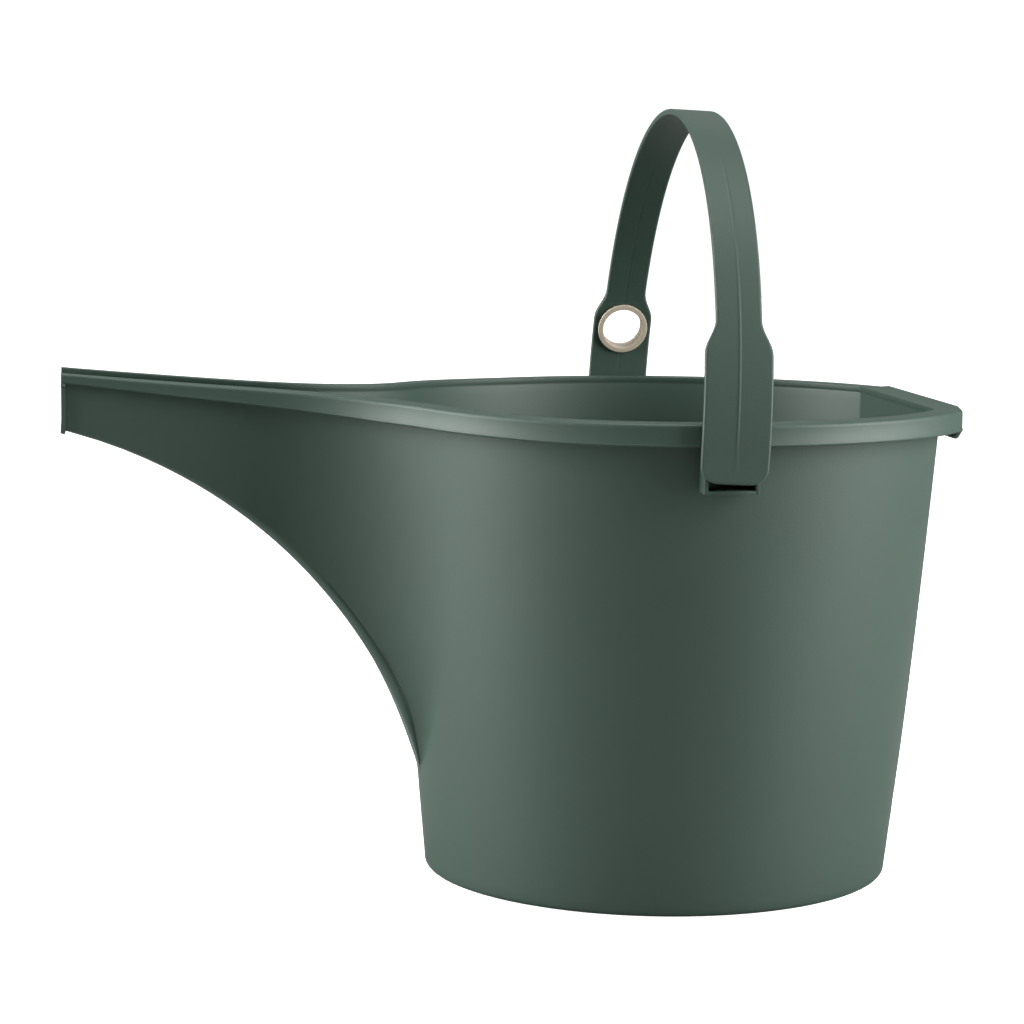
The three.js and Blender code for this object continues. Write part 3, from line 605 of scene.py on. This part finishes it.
def strap_ring(y, z, out_y, out_z, inset=0.0):
    """The strap's section round its middle line at (y, z), as a closed ring."""
    narrowing = (STRAP_WIDTH - PADDLE_WIDTH) * smoothstep(z, SHOULDER_LOW, SHOULDER_HIGH)
    half = (PADDLE_WIDTH + narrowing) / 2 - inset
    from_end = z + PADDLE_TAIL
    if from_end < PADDLE_CORNER_RADIUS:
        to_straight = PADDLE_CORNER_RADIUS - from_end
        half -= PADDLE_CORNER_RADIUS - math.sqrt(PADDLE_CORNER_RADIUS ** 2 - to_straight ** 2)
    depth = STRAP_THICKNESS / 2 - inset
    edge = min(STRAP_EDGE, depth * 0.9)
    turns = []
    near_edge = half - edge - 0.4
    for corner_x, corner_d, first in ((-1, -1, 2), (1, -1, 3), (1, 1, 0), (-1, 1, 1)):
        if first in (1, 3):
            turns.append((corner_x * near_edge, corner_d * depth))
        for step in range(5):
            a = (first + step / 4) * math.pi / 2
            across = corner_x * (half - edge) + edge * math.cos(a)
            turns.append((across, corner_d * (depth - edge) + edge * math.sin(a)))
        if first in (0, 2):
            turns.append((corner_x * near_edge, corner_d * depth))
        spread = RIDGE_HALF + 3.0 * max(0, (10 - z) / 18) ** 2
        fade = RIDGE_HEIGHT * smoothstep(z, -6, 20) * (1 - smoothstep(z, 110, 150))
        if first == 0:
            turns += [(spread + 0.3, depth), (spread, depth), (spread * 0.4, depth + fade)]
            turns += [(-spread * 0.4, depth + fade), (-spread, depth), (-spread - 0.3, depth)]
        if first == 2:
            turns += [(-0.9, -depth), (-0.4, -depth), (0, -depth + 0.6 * fade)]
            turns += [(0.4, -depth), (0.9, -depth)]
    return [(x, y + out_y * d, z + out_z * d) for x, d in turns]


half_strap = [
    strap_ring(arch_half, -PADDLE_TAIL + height, 1, 0, inset)
    for height, inset in ((0.02, 0.9), (0.25, 0.35), (0.8, 0))
]
half_strap += [
    strap_ring(arch_half, -PADDLE_TAIL + PADDLE_CORNER_RADIUS * share, 1, 0)
    for share in (0.2, 0.35, 0.55, 0.8)
]
ARCH_STEPS = 96
for step in range(ARCH_STEPS + 1):
    a = math.pi / 2 * step / ARCH_STEPS
    out = Vector((math.cos(a) * arch_rise, math.sin(a) * arch_half)).normalized()
    y, z = arch_half * math.cos(a), ARCH_SPRING + arch_rise * math.sin(a)
    half_strap.append(strap_ring(y, z, out.x, out.y))
strap_rings = half_strap + [[(x, -y, z) for x, y, z in ring] for ring in reversed(half_strap[:-1])]
strap_shape = bmesh.new()
for end in extrude_through(strap_shape, strap_rings, closed=True):
    strap_shape.faces.new(end)
bmesh.ops.recalc_face_normals(strap_shape, faces=strap_shape.faces)

eyelet_angle = math.asin((EYELET_ABOVE_PIVOT - ARCH_SPRING) / arch_rise)
eyelet_tilt = math.atan2(math.sin(eyelet_angle) * arch_half, math.cos(eyelet_angle) * arch_rise)
eyelet_place = Matrix.Translation(
    (0, arch_half * math.cos(eyelet_angle), EYELET_ABOVE_PIVOT)) @ Matrix.Rotation(eyelet_tilt, 4, "X")
punch_shape = bmesh.new()
turned(punch_shape, [(0, -8), (EYELET_HOLE_RADIUS, -8), (EYELET_HOLE_RADIUS, 8), (0, 8)], eyelet_place)
blanks = []
for name, blank in (("strap_blank", strap_shape), ("hole_punch", punch_shape)):
    blank_mesh = bpy.data.meshes.new(name)
    blank.to_mesh(blank_mesh)
    blank.free()
    blanks.append(bpy.data.objects.new(name, blank_mesh))
    bpy.context.scene.collection.objects.link(blanks[-1])
hole = blanks[0].modifiers.new("hole", "BOOLEAN")
hole.operation, hole.solver, hole.object = "DIFFERENCE", "EXACT", blanks[1]
bpy.context.view_layer.update()
handle_shape = bmesh.new()
handle_shape.from_object(blanks[0], bpy.context.evaluated_depsgraph_get())
for blank in blanks:
    blank_mesh = blank.data
    bpy.data.objects.remove(blank)
    bpy.data.meshes.remove(blank_mesh)
for turn in (0, math.pi):
    stud = [
        (0, STUD_END), (STUD_RADIUS - STUD_EDGE, STUD_END), (STUD_RADIUS, STUD_END + STUD_EDGE),
        (STUD_RADIUS, arch_half), (0, arch_half)]
    turned(handle_shape, stud, Matrix.Rotation(turn, 4, "Z"), 48)

handle = finish_shape(handle_shape, "strap_handle", pail_plastic, bail_place)
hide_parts("handle")
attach(handle, "bail")


# ---- Eyelet -------------------------------------------------------------------------------------
# A warm beige flanged sleeve stands through the far paddle, and a snap ring holds it on the
# outside. Both are turned round the hole's own axis.
EYELET_FLANGE_WIDTH, EYELET_FLANGE_THICKNESS, EYELET_BEYOND_STRAP = 1.3, 1.5, 3.5
EYELET_FLANGE_RADIUS = EYELET_BARREL_RADIUS + EYELET_FLANGE_WIDTH
EYELET_RING_WIDTH, EYELET_RING_THICKNESS = 2.3, 2.2
SLEEVE_EDGE, RING_EDGE, EYELET_STEPS = 0.45, 0.5, 96

strap_hollow = EYELET_FLANGE_RADIUS ** 2 / (2 * min(arch_half, arch_rise))
flange_back = -STRAP_THICKNESS / 2 - strap_hollow - FIT_GAP
flange_front = flange_back - EYELET_FLANGE_THICKNESS
barrel_end = STRAP_THICKNESS / 2 + EYELET_BEYOND_STRAP
ring_face = STRAP_THICKNESS / 2 + FIT_GAP

eyelet_plastic = satin_plastic("eyelet_beige", (0.35, 0.305, 0.235), 0.42, 0.00005, 900)
sleeve_shape = bmesh.new()
sleeve_outline = [
    (EYELET_BORE_RADIUS, flange_front), (EYELET_FLANGE_RADIUS, flange_front),
    (EYELET_FLANGE_RADIUS, flange_back), (EYELET_BARREL_RADIUS, flange_back),
    (EYELET_BARREL_RADIUS, barrel_end), (EYELET_BORE_RADIUS, barrel_end),
]
turned(sleeve_shape, rounded(sleeve_outline, SLEEVE_EDGE), eyelet_place, EYELET_STEPS)
ring_inside = EYELET_BARREL_RADIUS + FIT_GAP
ring_outside = ring_inside + EYELET_RING_WIDTH
ring_shape = bmesh.new()
ring_back = ring_face + EYELET_RING_THICKNESS
ring_outline = [
    (ring_inside, ring_face), (ring_outside, ring_face), (ring_outside, ring_back), (ring_inside, ring_back)]
turned(ring_shape, rounded(ring_outline, RING_EDGE), eyelet_place, EYELET_STEPS)
for shape, name, node in (
        (sleeve_shape, "flanged_sleeve", "eyelet_sleeve"), (ring_shape, "snap_ring", "eyelet_snap_ring")):
    piece = finish_shape(shape, name, eyelet_plastic, bail_place)
    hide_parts(node)
    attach(piece, "bail")
